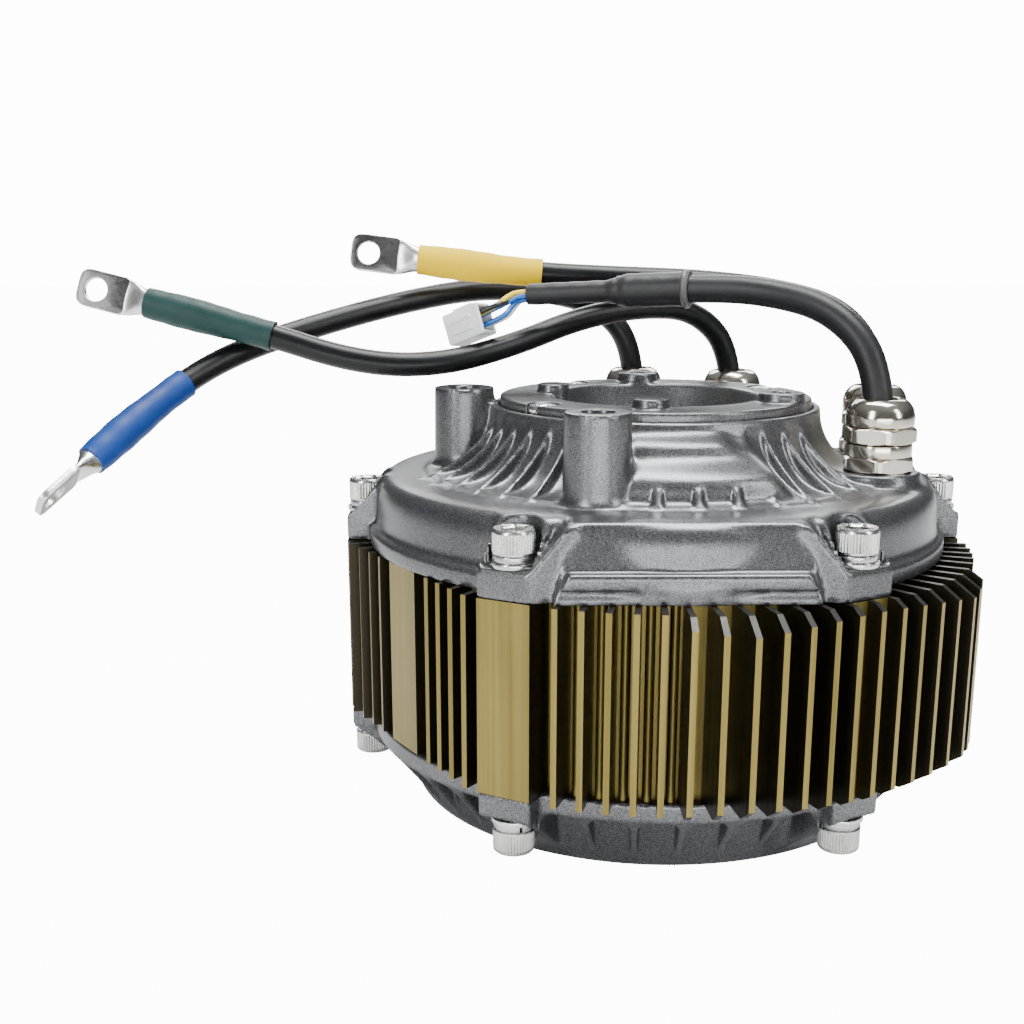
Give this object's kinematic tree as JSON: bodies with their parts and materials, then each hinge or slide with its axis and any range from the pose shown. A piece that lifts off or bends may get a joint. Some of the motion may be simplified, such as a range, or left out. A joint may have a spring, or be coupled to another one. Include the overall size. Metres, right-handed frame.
{
  "type": "electric motorcycle motor",
  "caption": "Finned round permanent-magnet motor with ribbed cast end covers, an output stub in an open dish, three lugged phase cables and a sensor cable.",
  "frame": {"origin": "centre of the base cover's flat rest face, on the shaft axis", "axes": "+Z along the shaft towards the output stub and the glands; +X through one screw column"},
  "size_m": [0.2425, 0.1744, 0.1501],
  "materials": {
    "shell_anodised": "olive-gold anodised, satin, fine extrusion lines",
    "cast_coating": "metallic dark grey coated casting",
    "stainless": "stainless steel, satin",
    "nickel_plate": "nickel-plated brass",
    "phase_cable_black": "glossy black silicone",
    "sensor_cable_grey": "matte dark grey",
    "shrink_yellow": "matte yellow heat-shrink",
    "shrink_green": "matte green heat-shrink",
    "shrink_blue": "matte blue heat-shrink",
    "shrink_black": "matte black heat-shrink",
    "grey_band": "grey",
    "tinned_copper": "tinned copper",
    "plug_white": "off-white nylon",
    "wire_insulation": "five colours in the look",
    "black_rubber": "matte",
    "lamination_steel": "stacked laminations",
    "magnet_nickel": "nickel-plated magnet",
    "coil_copper": "varnished copper wire",
    "insulator_plastic": "ivory moulded plastic",
    "shaft_steel": "ground steel",
    "bearing_steel": "polished bearing steel",
    "cage_brass": "brass cage",
    "spring_steel": "spring steel",
    "sensor_board_green": "circuit board"
  },
  "bodies": {
    "motor": {"finned_shell": "shell_anodised", "cable_side_cover": "cast_coating", "base_cover": "cast_coating", "hub_plate": "cast_coating", "upper_case_screws": "stainless", "lower_case_screws": "stainless", "upper_flat_washers": "stainless", "lower_flat_washers": "stainless", "hub_plate_screws": "stainless", "sensor_board_screws": "stainless", "upper_spring_washers": "spring_steel", "lower_spring_washers": "spring_steel", "bearing_preload_washer": "spring_steel", "gland_bodies": "nickel_plate", "gland_nuts": "nickel_plate", "gland_seals": "black_rubber", "cover_seal_ring": "black_rubber", "base_seal_ring": "black_rubber", "shaft_seal": "black_rubber", "yellow_phase_cable": "phase_cable_black", "green_phase_cable": "phase_cable_black", "blue_phase_cable": "phase_cable_black", "sensor_cable": "sensor_cable_grey", "yellow_phase_sleeve": "shrink_yellow", "green_phase_sleeve": "shrink_green", "blue_phase_sleeve": "shrink_blue", "sensor_cable_sleeve": "shrink_black", "sensor_wire_sleeve": "shrink_black", "sensor_cable_ring": "grey_band", "yellow_ring_lug": "tinned_copper", "green_ring_lug": "tinned_copper", "blue_ring_lug": "tinned_copper", "sensor_connector": "plug_white", "sensor_wires": "wire_insulation", "stator_core": "lamination_steel", "upper_slot_insulator": "insulator_plastic", "lower_slot_insulator": "insulator_plastic", "coils": "coil_copper", "base_bearing_outer_race": "bearing_steel", "cover_bearing_outer_race": "bearing_steel", "sensor_board": "sensor_board_green"},
    "rotor": {"rotor_shaft": "shaft_steel", "rotor_core": "lamination_steel", "rotor_end_plates": "stainless", "magnets": "magnet_nickel", "shaft_circlip": "spring_steel", "sensor_magnet_ring": "magnet_nickel", "base_bearing_inner_race": "bearing_steel", "cover_bearing_inner_race": "bearing_steel"},
    "base_bearing_train": {"base_bearing_balls": "bearing_steel", "base_bearing_cage": "cage_brass"},
    "cover_bearing_train": {"cover_bearing_balls": "bearing_steel", "cover_bearing_cage": "cage_brass"}
  },
  "joints": [
    {"name": "rotor_spin", "type": "hinge", "parent": "motor", "child": "rotor", "pos_m": [0, 0, 0.045], "axis": [0, 0, 1], "continuous": true},
    {"name": "base_cage_spin", "type": "hinge", "parent": "motor", "child": "base_bearing_train", "pos_m": [0, 0, 0.012], "axis": [0, 0, 1], "continuous": true},
    {"name": "cover_cage_spin", "type": "hinge", "parent": "motor", "child": "cover_bearing_train", "pos_m": [0, 0, 0.072], "axis": [0, 0, 1], "continuous": true}
  ],
  "couplings": [
    {"joint": "base_cage_spin", "follows": "rotor_spin", "ratio": 0.3984},
    {"joint": "cover_cage_spin", "follows": "rotor_spin", "ratio": 0.4125}
  ]
}
